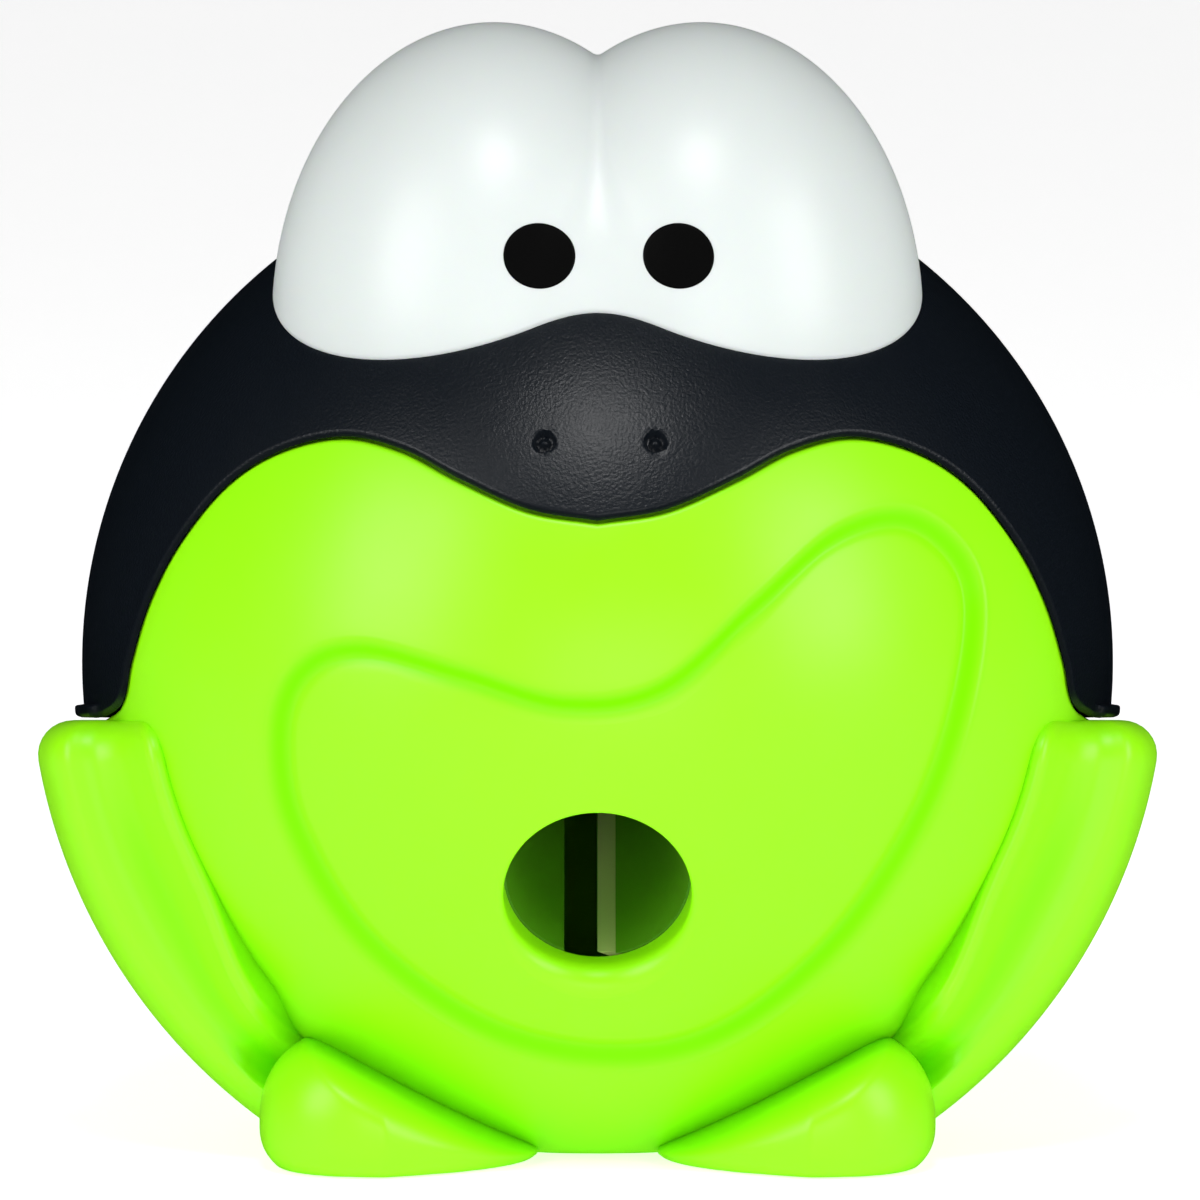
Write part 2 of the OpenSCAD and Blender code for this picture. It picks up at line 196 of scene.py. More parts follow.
@dataclass(frozen=True)
class Pole:
    """Directions from the ball's middle, told by their angle from an axis and their bearing round it."""

    axis: tuple[float, float, float]
    up: tuple[float, float, float]

    def directions(self, alpha: Array, beta: Array) -> Array:
        """Unit vectors: the axis by the cosine of alpha, and the bearing's vector by its sine.

        Args:
            alpha: Angles from the axis, in radians.
            beta: Bearings from up towards +X, in radians.

        Returns:
            Unit vectors, one for each pair.
        """
        alpha, beta = np.broadcast_arrays(alpha, beta)
        across = np.cos(beta)[..., None] * np.array(self.up) + np.sin(beta)[..., None] * np.array([1.0, 0, 0])
        return np.cos(alpha)[..., None] * np.array(self.axis) + np.sin(alpha)[..., None] * across

    def angles(self, points: Array) -> tuple[Array, Array]:
        """The angle from the axis and the bearing of each point.

        Args:
            points: Positions, with x, y and z in the last axis.

        Returns:
            The angles and the bearings, in radians.
        """
        unit = points / np.linalg.norm(points, axis=-1, keepdims=True)
        alpha = np.arccos(np.clip(unit @ np.array(self.axis), -1, 1))
        return alpha, np.arctan2(unit[..., 0], unit @ np.array(self.up))

    def curve(self, points: Array, beta: Array) -> Array:
        """A closed curve of points as its angle from the axis at each wanted bearing.

        Args:
            points: Points of the curve, in any order round the axis.
            beta: The wanted bearings.

        Returns:
            The angle at each bearing, found between the nearest points.
        """
        a, b = self.angles(points)
        order = np.argsort(b)
        return np.interp(beta, b[order], a[order], period=2 * math.pi)


def slant(alpha: Array, beta: Array) -> Array:
    """How much wider a band across a curve is along the bearing line: 1 over the cosine of their angle.

    Args:
        alpha: The curve's angle from the axis at each bearing.
        beta: The bearings, evenly spaced.

    Returns:
        The widening at each bearing, at most 3.6.
    """
    ends = np.concatenate([alpha[-2:], alpha, alpha[:2]])
    step = beta[1] - beta[0]
    slope = (ends[3:-1] - ends[1:-3]) / (2 * step) / np.sin(alpha)
    return np.minimum(np.sqrt(1 + slope**2), 3.6)


PITCH = math.radians(BALL.bore_pitch)
BORE_POLE = Pole((0.0, -math.cos(PITCH), -math.sin(PITCH)), (0.0, -math.sin(PITCH), math.cos(PITCH)))
TOP_POLE = Pole((0.0, 0.0, 1.0), (0.0, -1.0, 0.0))


# ---- meshes ----


@dataclass
class Skin:
    """A surface under construction: vertices in millimetres from the ball's middle, and faces.

    Each block of faces is a whole-number array with a row for each face, whose faces all have as
    many corners.
    """

    points: Array
    faces: list[Whole]
    # weight of painted shade at each point, for creases and troughs
    crease: Array | None = None

    @staticmethod
    def grid(rows: Array, wrap_rows: bool = False, wrap_columns: bool = True,
             caps: tuple[bool, bool] = (False, False)) -> "Skin":
        """Faces between neighbours of a grid of points.

        Args:
            rows: Positions, rows by columns by 3.
            wrap_rows: Whether the last row joins the first.
            wrap_columns: Whether the last column joins the first.
            caps: Whether one face closes the first row, and the last.

        Returns:
            The surface.
        """
        n, m = rows.shape[:2]
        i = np.arange(n if wrap_rows else n - 1)[:, None]
        j = np.arange(m if wrap_columns else m - 1)[None, :]
        i2, j2 = (i + 1) % n, (j + 1) % m
        quads = np.stack([i * m + j, i * m + j2, i2 * m + j2, i2 * m + j], axis=-1).reshape(-1, 4)
        faces = [quads]
        if caps[0]:
            faces.append(np.arange(m)[None, ::-1])
        if caps[1]:
            faces.append(np.arange((n - 1) * m, n * m)[None])
        return Skin(rows.reshape(-1, 3), faces)

    @staticmethod
    def poled(rows: Array, start: Array, end: Array) -> "Skin":
        """A grid whose first and last rows each close on one point with triangles.

        Args:
            rows: Positions, rows by columns by 3.
            start: The point before the first row.
            end: The point after the last row.

        Returns:
            The closed surface.
        """
        skin = Skin.grid(rows)
        n, m = rows.shape[:2]
        j = np.arange(m)
        first, last, base = np.full(m, n * m), np.full(m, n * m + 1), (n - 1) * m
        skin.faces.append(np.stack([first, (j + 1) % m, j], axis=-1))
        skin.faces.append(np.stack([last, base + j, base + (j + 1) % m], axis=-1))
        skin.points = np.concatenate([skin.points, start[None], end[None]])
        return skin

    @staticmethod
    def joined(skins: list["Skin"]) -> "Skin":
        """Several surfaces as one, each with its own weights of painted shade.

        Args:
            skins: The surfaces.

        Returns:
            One surface that holds them all.
        """
        starts = np.cumsum([0] + [len(s.points) for s in skins[:-1]])
        faces = [block + start for s, start in zip(skins, starts) for block in s.faces]
        shade_weights = [np.zeros(len(s.points)) if s.crease is None else s.crease for s in skins]
        return Skin(np.concatenate([s.points for s in skins]), faces, np.concatenate(shade_weights))

    def outward(self) -> "Skin":
        """The same closed surface with its faces turned outwards.

        The sign of the volume tells: it is the sum, over triangles that fan from each face's
        first corner, of the triple product of their corners.
        """
        p = self.points - self.points.mean(axis=0)
        volume = sum(float(np.sum(p[block[:, :1]] * np.cross(p[block[:, 1:-1]], p[block[:, 2:]])))
                     for block in self.faces)
        if volume < 0:
            self.faces = [block[:, ::-1] for block in self.faces]
        return self

    def mesh(self, name: str, places: Array) -> bpy.types.Mesh:
        """A smooth-shaded mesh of the faces on the given places, which are in metres.

        Args:
            name: The mesh's name.
            places: A place for each point.

        Returns:
            The mesh.
        """
        mesh = bpy.data.meshes.new(name)
        mesh.from_pydata(places.tolist(), [], [face for block in self.faces for face in block.tolist()])
        mesh.polygons.foreach_set("use_smooth", np.ones(len(mesh.polygons), bool))
        return mesh

    def obj(self, name: str, finish: "Finish", body: Body, slot: str) -> bpy.types.Object:
        """The surface as an object that rides a body and wears a finish.

        Args:
            name: The object's name.
            finish: Its finish.
            body: The body it rides.
            slot: The record's material slot; not used.

        Returns:
            The object.
        """
        mesh = self.mesh(name, (self.points + [0, 0, BALL.centre_h]) * MM)
        mesh.set_sharp_from_angle(angle=math.radians(CRISP))
        # the crease attribute carries the painted shade weights to the material
        if self.crease is not None:
            values = mesh.attributes.new("crease", "FLOAT", "POINT").data
            values.foreach_set("value", self.crease.astype(np.float32))
        mesh.validate()
        mesh.materials.append(finish.material())
        item = bpy.data.objects.new(name, mesh)
        bpy.context.scene.collection.objects.link(item)
        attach(item, body.value)
        LOG.info("%s: %d faces on %s", name, len(mesh.polygons), body.value)
        return item


def extruded(outline: Array, low: float, high: float, hole: Array | None = None, bevel: float = 0.15) -> Skin:
    """A flat outline in Y and Z carried along X, with its end edges eased and perhaps a hole.

    The rows run round the piece: the outline near one end, at both ends' bevels, and the hole.

    Args:
        outline: The outline's points, N by 2, star-shaped from its middle.
        low: X of one end.
        high: X of the other end.
        hole: The hole's outline with as many points, or none.
        bevel: How far the end edges are eased.

    Returns:
        The closed surface.
    """
    middle = outline.mean(axis=0) if hole is None else hole.mean(axis=0)
    reach = np.linalg.norm(outline - middle, axis=1, keepdims=True)
    small = middle + (outline - middle) * (1 - bevel / reach)
    half = middle + (outline - middle) * (1 - 0.3 * bevel / reach)
    rows = [(small, low), (half, low + 0.3 * bevel), (outline, low + bevel)]
    rows += [(outline, high - bevel), (half, high - 0.3 * bevel), (small, high)]
    if hole is not None:
        rows += [(hole, high), (hole, low)]
    points = np.stack([np.column_stack([np.full(len(p), x), p]) for p, x in rows])
    if hole is None:
        return Skin.grid(points, caps=(True, True)).outward()
    return Skin.grid(points, wrap_rows=True).outward()


def revolved(profile: Array, base: Array, axis: Array, count: int = 48) -> Skin:
    """A profile of radius and distance turned round an axis, closed at both ends on the axis.

    Args:
        profile: Radius and distance along the axis, N by 2.
        base: The point at distance zero.
        axis: The axis, a unit vector.
        count: Points round it.

    Returns:
        The closed surface.
    """
    side = np.cross(axis, [1.0, 0, 0] if abs(axis[0]) < 0.8 else [0, 1.0, 0])
    side /= np.linalg.norm(side)
    turn = np.linspace(0, 2 * math.pi, count, endpoint=False)[:, None]
    round_it = np.cos(turn) * side + np.sin(turn) * np.cross(axis, side)
    rows = base + profile[:, 1, None, None] * axis + profile[:, 0, None, None] * round_it
    return Skin.poled(rows, base + profile[0, 1] * axis, base + profile[-1, 1] * axis).outward()


# ---- finishes ----


@dataclass(frozen=True)
class Finish:
    """A procedural finish: a base colour with slow drift, a darker colour painted as shade in creases, a
    sheen that is cut there too, and a grain.
    """

    name: str
    colour: Colour
    drift: Colour
    roughness: float
    rough_spread: float = 0.04
    grain: float = 0.0
    grain_scale: float = 6000.0
    metallic: float = 0.0
    glow: float = 0.0
    specular: float = 0.5
    light: float = 0.0
    brushed: bool = False
    # colour painted as shade where the crease attribute is high
    deep: Colour | None = None

    def material(self) -> bpy.types.Material:
        """The finish as a material, made once and then shared.

        Slow noise mixes the base colour with the drift colour, the crease attribute mixes in the painted
        shade colour and cuts the specular, middle noise spreads the roughness, and fine noise feeds the
        grain's bump.

        Returns:
            The material.
        """
        if self.name in bpy.data.materials:
            return bpy.data.materials[self.name]
        mat = bpy.data.materials.new(self.name)
        mat.use_nodes = True
        tree = mat.node_tree
        shader = tree.nodes["Principled BSDF"]
        place = tree.nodes.new("ShaderNodeTexCoord").outputs["Object"]
        if self.brushed:
            stretch = tree.nodes.new("ShaderNodeMapping")
            stretch.inputs["Scale"].default_value = (1.0, 0.04, 0.04)
            tree.links.new(place, stretch.inputs["Vector"])
            place = stretch.outputs["Vector"]

        def noise(scale: float, detail: float) -> bpy.types.NodeSocket:
            """A noise field of a given scale on the object's own coordinates.

            Args:
                scale: The noise's scale.
                detail: How many finer layers it has.

            Returns:
                The field's output.
            """
            node = tree.nodes.new("ShaderNodeTexNoise")
            node.inputs["Scale"].default_value = scale
            node.inputs["Detail"].default_value = detail
            tree.links.new(place, node.inputs["Vector"])
            return node.outputs["Fac"]

        def blend(factor: bpy.types.NodeSocket, a: Colour | bpy.types.NodeSocket,
                  b: Colour) -> bpy.types.NodeSocket:
            """A mix of two colours by a factor, where the first may come from another node.

            Args:
                factor: The share of the second.
                a: The first colour.
                b: The second colour.

            Returns:
                The mix's output.
            """
            node = tree.nodes.new("ShaderNodeMix")
            node.data_type = "RGBA"
            if isinstance(a, tuple):
                node.inputs["A"].default_value = (*a, 1.0)
            else:
                tree.links.new(a, node.inputs["A"])
            node.inputs["B"].default_value = (*b, 1.0)
            tree.links.new(factor, node.inputs["Factor"])
            return node.outputs["Result"]

        colour = blend(noise(55.0, 2.0), self.colour, self.drift)
        # painted shade: the crease attribute mixes the colour towards deep and cuts the specular to a tenth
        if self.deep is not None:
            crease = tree.nodes.new("ShaderNodeAttribute")
            crease.attribute_name = "crease"
            colour = blend(crease.outputs["Fac"], colour, self.deep)
            shade_specular_cut = tree.nodes.new("ShaderNodeMapRange")
            shade_specular_cut.inputs["To Min"].default_value = self.specular
            shade_specular_cut.inputs["To Max"].default_value = self.specular * 0.1
            tree.links.new(crease.outputs["Fac"], shade_specular_cut.inputs["Value"])
            tree.links.new(shade_specular_cut.outputs["Result"], shader.inputs["Specular IOR Level"])
        tree.links.new(colour, shader.inputs["Base Color"])

        spread = tree.nodes.new("ShaderNodeMapRange")
        spread.inputs["To Min"].default_value = max(self.roughness - self.rough_spread, 0.02)
        spread.inputs["To Max"].default_value = self.roughness + self.rough_spread
        tree.links.new(noise(420.0, 4.0), spread.inputs["Value"])
        tree.links.new(spread.outputs["Result"], shader.inputs["Roughness"])

        if self.grain > 0:
            bump = tree.nodes.new("ShaderNodeBump")
            bump.inputs["Strength"].default_value = self.grain
            bump.inputs["Distance"].default_value = 0.00005
            tree.links.new(noise(self.grain_scale, 3.0), bump.inputs["Height"])
            tree.links.new(bump.outputs["Normal"], shader.inputs["Normal"])
        shader.inputs["Metallic"].default_value = self.metallic
        shader.inputs["Specular IOR Level"].default_value = self.specular
        shader.inputs["Emission Color"].default_value = (1.0, 1.0, 1.0, 1.0)
        shader.inputs["Emission Strength"].default_value = self.light
        if self.glow > 0:
            shader.inputs["Subsurface Weight"].default_value = self.glow
            shader.inputs["Subsurface Radius"].default_value = (0.4, 1.0, 0.15)
            shader.inputs["Subsurface Scale"].default_value = 0.0015
        return mat


# LIME's deep colour is painted shade for the mouth's step and the arms' troughs
LIME = Finish("lime_gloss", (0.3, 0.88, 0.002), (0.28, 0.84, 0.001), 0.36, grain=0.04, grain_scale=2500,
              specular=0.4, deep=(0.19, 0.86, 0.0))
# the sharpener block's lime darkened several times over to paint the shade deep in the pencil hole
LIME_BLOCK_SHADED = Finish("lime_block_painted_shade", (0.08, 0.27, 0.004), (0.07, 0.24, 0.003), 0.42, grain=0.12,
                    grain_scale=2500)
BLACK = Finish("black_grained", (0.003, 0.005, 0.008), (0.005, 0.007, 0.01), 0.33, grain=0.5,
               grain_scale=6500, specular=0.28)
WHITE = Finish("white_gloss", (0.62, 0.66, 0.65), (0.6, 0.65, 0.63), 0.34, 0.03, grain=0.03, specular=0.4,
               glow=0.1)
INK = Finish("pupil_matt", (0.001, 0.001, 0.001), (0.002, 0.002, 0.002), 0.45, grain=0.1, specular=0.04)
# ground steel: grey metal with an olive-green tint that paints the reflection of the green parts round the
# blade
STEEL_PAINTED_REFLECTION = Finish("blade_painted_green_reflection", (0.5, 0.62, 0.17), (0.56, 0.66, 0.24), 0.4, 0.1, grain=0.2, grain_scale=3000,
               metallic=0.35, brushed=True)
ZINC = Finish("zinc_plated", (0.62, 0.63, 0.64), (0.52, 0.54, 0.56), 0.3, 0.1, grain=0.2, grain_scale=2500,
              metallic=1.0)
PAPER = Finish("paper", (0.92, 0.92, 0.92), (0.9, 0.9, 0.9), 0.7, grain=0.1, grain_scale=900, light=0.64)


# ---- lines that mouldings share ----


@dataclass(frozen=True)
class Lines:
    """Curves of the front view, in millimetres sideways and up from the ball's middle."""

    brow: tuple[tuple[float, float], ...] = (
        (0, 6.85), (3.3, 7.4), (6.6, 8.85), (9.4, 10.3), (12.3, 10.95), (15.4, 10.25), (18, 8.6),
        (20.3, 5.8), (21.8, 2.9), (22.7, 0), (22.95, -1.4), (23.3, -2.2), (24.1, -2.72))
    mouth: tuple[tuple[float, float], ...] = (
        (-11, 0.8), (-6.3, -0.4), (-1.5, -1.75), (3, -1), (7.4, 2.9), (11.4, 6.3), (15, 6.9),
        (17.7, 4.2), (17.7, -0.5), (15.7, -6.9), (11.6, -13.2), (6.2, -17.6), (0.6, -18.8),
        (-5.5, -17.4), (-11.2, -13.2), (-14.6, -7.6), (-15.2, -2.8), (-13.8, 0))

    def brow_side(self, inset: float) -> Array:
        """The right half of the opening's edge, drawn in by inset, from the nose to the shoulder.

        Args:
            inset: How far the edge is drawn in.

        Returns:
            The edge's points, N by 2.
        """
        whole = smooth_line(np.array(self.brow, float), 12, False)
        line = moved_aside(whole, -inset)
        line[0, 0] = 0.0
        return line

    def mouth_loop(self) -> Array:
        """The crooked mouth's outline as a closed curve."""
        return smooth_line(np.array(self.mouth, float), 24, True)


LINES = Lines()


def both_sides(right: Array) -> Array:
    """Points of the right half and their mirror images."""
    return np.concatenate([right, right * [-1, 1, 1]])


# ---- green body ----


@dataclass
class FrontShell:
    """The green front moulding: belly, face, mouth, collar, arms, feet and the seat inside."""

    columns: int = 576
    bore_r: float = 4.5
    seat_s: float = 21.3
    lip_top: float = 0.16
    lip_bottom: float = 1.25
    groove: float = 0.08
    band_in: float = 1.15
    band_out: float = 0.85
    brow_gap: float = 0.13
    edge_r: float = 0.32
    collar_top: float = 13.2
    collar_back: float = -8.0
    ring_s: float = 18.9
    ring_r: float = 6.1
    ring_t: float = 1.4
    ring_turn: float = 2.08
    hook_x: float = 9.3
    hook_s: float = 16.6
    hook_l: float = 4.0
    hook_t: float = 1.2
    hook_lip: float = 0.8
    hook_half: float = 2.4
    boss_place: float = 20.25
    boss_turns: tuple[float, ...] = (-22, -60, -120, -158)
    boss: tuple[tuple[float, float], ...] = (
        (2.1, -6), (2.2, -5.9), (2.2, 0), (1.0, 0), (1.0, 2.8), (0.8, 3.0))
    arm_turn: float = 62.0
    arm_slant: float = 6.0
    arm_hub: tuple[float, float] = (22.5, -5.5)
    arm_inner: tuple[float, float] = (22.2, 26.2)
    arm_swing: float = 1.7
    arm_swings: tuple[float, float] = (24, 52)
    arm_sink: float = 3.8
    arm_sinks: tuple[float, float] = (43, 54)
    arm_corner: float = 2.0
    arm_top: float = -2.8
    arm_trough: float = 23.9
    arm_section: tuple[tuple[float, float], ...] = (
        (20.2, -9.5), (21.2, -12.0), (21.6, -12.45), (22.1, -12.3), (22.7, -11.3), (23.5, -10.2),
        (24.5, -9.6),
        (25.4, -9.5), (26.15, -9.3), (26.8, -8.4), (27.25, -6.9), (27.45, -5.2), (27.3, -3.6), (26.8, -2.2),
        (25.9, -1.3), (24.6, -0.9), (20.2, -0.8))
    foot_place: tuple[float, float, float] = (10.2, -12.3, 2.0)
    foot_out: float = 6.1
    foot_in: float = 8.2
    foot_half: float = 5.6
    foot_high: float = 4.9
    foot_low: float = 3.2
    foot_blunt: float = 2.4
    foot_rise: float = 27.5
    foot_slope: float = 2.1
    foot_round: float = 6.5
    foot_back: float = 0.42
    ball: Ball = field(default_factory=Ball)

    def outer_edge(self, beta: Array) -> Array:
        """The angle from the bore at which the visible skin ends: brow, shoulder, seam and base.

        Args:
            beta: The bearings round the bore.

        Returns:
            The angle at each bearing.
        """
        b = self.ball
        r = b.body_r
        brow = LINES.brow_side(self.brow_gap)
        brow = on_front(brow[np.hypot(brow[:, 0], brow[:, 1]) < r - 0.1], r)
        tilt = math.radians(b.tilt)
        seam_depth = (b.seam_y - b.body_top * math.sin(tilt)) / math.cos(tilt)
        y = np.linspace(-3.0, seam_depth, 8)
        shoulder = np.stack([np.sqrt(r**2 - y**2 - b.body_top**2), y, np.full(8, b.body_top)], axis=-1)
        shoulder = from_face(shoulder)
        z = np.linspace(float(shoulder[-1, 2]), -b.centre_h + 0.02, 60)
        seam = np.stack([np.sqrt(r**2 - b.seam_y**2 - z**2), np.full(60, b.seam_y), z], axis=-1)
        x = np.linspace(float(seam[-1, 0]) - 0.1, 0.0, 30)
        base = np.stack([x, np.full(30, b.seam_y), np.full(30, -b.centre_h)], axis=-1)
        return BORE_POLE.curve(both_sides(np.concatenate([brow, shoulder, seam, base])), beta)

    def collar_edge(self, beta: Array, inner: Array) -> Array:
        """The angle at which the collar under the hood ends, never inside the visible skin's edge.

        Args:
            beta: The bearings round the bore.
            inner: The visible skin's edge at each bearing.

        Returns:
            The angle at each bearing.
        """
        b = self.ball
        r = b.collar_r
        reach = math.sqrt(r**2 - self.collar_top**2 - self.collar_back**2)
        x = np.linspace(0, reach, 40)
        top = on_front(np.stack([x, np.full(40, self.collar_top)], axis=-1), r)
        v = np.linspace(self.collar_top, b.body_top, 40)
        side = np.sqrt(r**2 - self.collar_back**2 - v**2)
        back = from_face(np.stack([side, np.full(40, self.collar_back), v], axis=-1))
        points = both_sides(np.concatenate([top, back]))
        edge = BORE_POLE.curve(points, beta)
        last = float(np.abs(BORE_POLE.angles(points)[1]).max())
        return np.maximum(np.where(np.abs(beta) < last, edge, 0.0), inner + 0.003)

    def capped(self, direction: Array, radius: Array | float, depth: float) -> Array:
        """Distance to a sphere, or to the flat floor under it where that is nearer, softly joined."""
        down = np.maximum(-direction[..., 2], 1e-3)
        return soft_min(np.broadcast_to(radius, down.shape), depth / down, 0.3)

    def face(self) -> Skin:
        """The closed shell: rows run from the pencil hole over the outside, round the edge and back inside.

        Each row is a ring of directions round the bore, told by an angle for each bearing, times
        a distance. Across the mouth's edge the distance climbs from the mouth's sphere to the
        belly's by a smooth step of the perpendicular distance, with a shallow groove at its foot.

        Returns:
            The surface.
        """
        b = self.ball
        beta = np.linspace(-math.pi, math.pi, self.columns, endpoint=False)
        deep = b.centre_h
        rows: list[Array] = []
        crease: dict[int, float] = {}

        def along(r: Array | float, s: Array | float) -> None:
            """Adds a ring at radius r from the bore's axis and distance s along it."""
            r, s = np.broadcast_to(r, beta.shape), np.broadcast_to(s, beta.shape)
            rows.append(BORE_POLE.directions(np.arctan2(r, s), beta) * np.hypot(r, s)[:, None])

        def ring(alpha: Array, radius: Array | float, floor: float) -> None:
            """Adds a ring of directions at a radius, or on the flat floor under it."""
            d = BORE_POLE.directions(alpha, beta)
            rows.append(d * self.capped(d, radius, floor)[:, None])

        lip = self.lip_top + (self.lip_bottom - self.lip_top) * ((1 - np.cos(beta)) / 2) ** 3
        top_s = np.sqrt(b.mouth_r**2 - (self.bore_r + lip) ** 2)
        for t in np.linspace(0, 1, 6):
            along(self.bore_r, self.seat_s + (top_s - lip - self.seat_s) * t)
        for t in np.linspace(0, math.pi / 2, 11)[1:]:
            along(self.bore_r + lip * (1 - math.cos(t)), top_s - lip * (1 - math.sin(t)))

        mouth = BORE_POLE.curve(on_front(LINES.mouth_loop(), b.mouth_r), beta)
        wide = slant(mouth, beta) / b.body_r
        inner, outer = mouth - self.band_in * wide, mouth + self.band_out * wide
        start = np.arctan2(self.bore_r + lip, top_s)
        for t in eased(34, 0.5)[1:-1]:
            ring(start + (inner - start) * t, b.mouth_r, deep)
        for d in np.linspace(-self.band_in, self.band_out, 27):
            climb = float(smoothstep(np.array(d), -0.7, 0.5))
            dip = self.groove * math.exp(-(((d + 0.6) / 0.35) ** 2))
            # painted shade weight across the mouth's step, highest on its wall
            crease[len(rows)] = math.exp(-(((d + 0.2) / 0.5) ** 2))
            ring(mouth + d * wide, b.mouth_r + (b.body_r - b.mouth_r) * climb - dip, deep)

        edge = self.outer_edge(beta)
        edge_wide = slant(edge, beta) / b.body_r
        last = edge - self.edge_r * edge_wide
        for t in eased(46, 0.55)[1:]:
            ring(outer + (last - outer) * t, b.body_r, deep)
        for t in np.linspace(0, math.pi / 2, 6)[1:]:
            inset, sink = self.edge_r * (1 - math.sin(t)), self.edge_r * (1 - math.cos(t))
            ring(edge - inset * edge_wide, b.body_r - sink, deep)
        ring(edge, b.collar_r + 0.25, deep - 0.9)
        ring(edge + 0.0015, b.collar_r, deep - 1.1)
        collar = self.collar_edge(beta, edge)
        for t in np.linspace(0, 1, 7)[1:]:
            ring(edge + 0.0015 + (collar - edge - 0.0015) * t, b.collar_r, deep - 1.1)
        ring(collar + 0.001, b.cavity_r + 0.5, deep - 1.2)
        ring(collar, b.cavity_r, deep - b.floor_t)
        end = math.atan2(self.bore_r, self.seat_s)
        for t in eased(28, 0.3)[1:-1]:
            alpha = collar + (end - collar) * t
            flat = self.seat_s / np.maximum(np.cos(alpha), 0.1)
            ring(alpha, np.where(alpha < 0.3, np.minimum(flat, b.cavity_r), b.cavity_r), deep - b.floor_t)
        skin = Skin.grid(np.stack(rows), wrap_rows=True).outward()
        # painted shade weights, one per row, for every point of the row
        skin.crease = np.repeat([crease.get(k, 0.0) for k in range(len(rows))], len(beta))
        return skin

    def arm(self, side: Side) -> Skin:
        """One arm: a rounded section carried round the face's axis from the shoulder to the foot.

        Each point of the section starts where its own circle meets the shoulder plane, the top
        edge is drawn in by a quarter round, and what would pass through the table is laid flat.
        Towards the foot the inner edge swings out by a smooth step of the turn, and at its end it
        sinks back into the belly by another.

        Args:
            side: Left or right.

        Returns:
            The surface.
        """
        b = self.ball
        section = smooth_line(np.array(self.arm_section, float), 6, True)
        hub = np.array(self.arm_hub)
        reach = np.linalg.norm(section - hub, axis=1, keepdims=True)
        rings = []
        for t in np.linspace(0, math.pi / 2, 9):
            ring = hub + (section - hub) * (1 - self.arm_corner * (1 - math.sin(t)) / reach)
            below = self.arm_corner * (1 - math.cos(t))
            rings.append((ring, np.arcsin(np.clip((below - self.arm_top) / ring[:, 0], -1, 1))))
        first = rings[-1][1]
        inner = np.clip((self.arm_inner[1] - section[:, 0]) / (self.arm_inner[1] - self.arm_inner[0]), 0, 1)
        last = math.radians(self.arm_turn) - math.radians(self.arm_slant) * inner
        for t in np.linspace(0, 1, 90)[1:]:
            turn = first + (last - first) * t
            moved = section[:, 0] + self.arm_swing * inner * smoothstep(turn, *np.radians(self.arm_swings))
            sunk = self.arm_sink * inner * smoothstep(turn, *np.radians(self.arm_sinks))
            rings.append((np.stack([moved, section[:, 1] + sunk], axis=-1), turn))
        points = np.stack([
            np.stack([side.value * p[:, 0] * np.cos(a), p[:, 1], -p[:, 0] * np.sin(a)], axis=-1)
            for p, a in rings])
        ball = from_face(points)
        ball[..., 2] = -soft_min(-ball[..., 2], np.full(ball.shape[:2], b.centre_h), 0.25)
        skin = Skin.grid(ball, caps=(True, True)).outward()
        # painted shade down the front of the arm's trough, faded in from the shoulder
        trough_shade = np.exp(-(((section[:, 0] - self.arm_trough) / 0.85) ** 2)) * (section[:, 1] < -7)
        fade = np.stack([smoothstep(turn, 0.1, 0.5) for _, turn in rings])
        skin.crease = (fade * trough_shade * 0.7).ravel()
        return skin

    def foot(self, side: Side) -> Skin:
        """One foot: a blunt wedge that rises outwards, tucks under at its rim and stands flat.

        From a point inside, each direction reaches as far as a blunt egg does: one over the p-th
        root of the summed powers of its parts. A curved slope then cuts the top and the table cuts
        the bottom, both softly. The inner tip is swept back in proportion to its distance.

        Args:
            side: Left or right.

        Returns:
            The surface.
        """
        lat = np.linspace(0, math.pi, 104)[:, None]
        turn = np.linspace(0, 2 * math.pi, 150, endpoint=False)[None, :]
        x, y = np.cos(lat) * np.ones_like(turn), np.sin(lat) * np.sin(turn)
        z = np.sin(lat) * np.cos(turn)
        p = self.foot_blunt
        length = np.where(x > 0, self.foot_out, self.foot_in)
        height = np.where(z > 0, self.foot_high, self.foot_low)
        egg = np.abs(x / length) ** p + np.abs(y / self.foot_half) ** p + np.abs(z / height) ** p
        egg = egg ** (-1 / p)
        rise = math.radians(self.foot_rise)
        climb = np.maximum(z * math.cos(rise) - x * math.sin(rise), 1e-4)
        slope = 1 / np.sqrt((climb / self.foot_slope) ** 2 + (y / self.foot_round) ** 2)
        far = soft_min(egg, np.where(climb > 1e-3, slope, egg + 9), 1.2)
        far = soft_min(far, self.foot_place[2] / np.maximum(-z, 1e-3), 0.35)
        points = np.stack([x, y, z], axis=-1) * far[..., None] + self.foot_place
        points[..., 1] += self.foot_back * np.maximum(self.foot_place[0] - points[..., 0], 0)
        points = points * [side.value, 1, 1] - [0, 0, self.ball.centre_h]
        return Skin.poled(points[1:-1], points[0, 0], points[-1, 0]).outward()

    def in_bore(self, x: Array, up: Array, s: Array) -> Array:
        """Points told by sideways place, height off the bore's axis and distance along it."""
        sideways = np.stack(np.broadcast_arrays(x, 0.0, 0.0), axis=-1)
        return sideways + up[..., None] * BORE_POLE.up + s[..., None] * BORE_POLE.axis

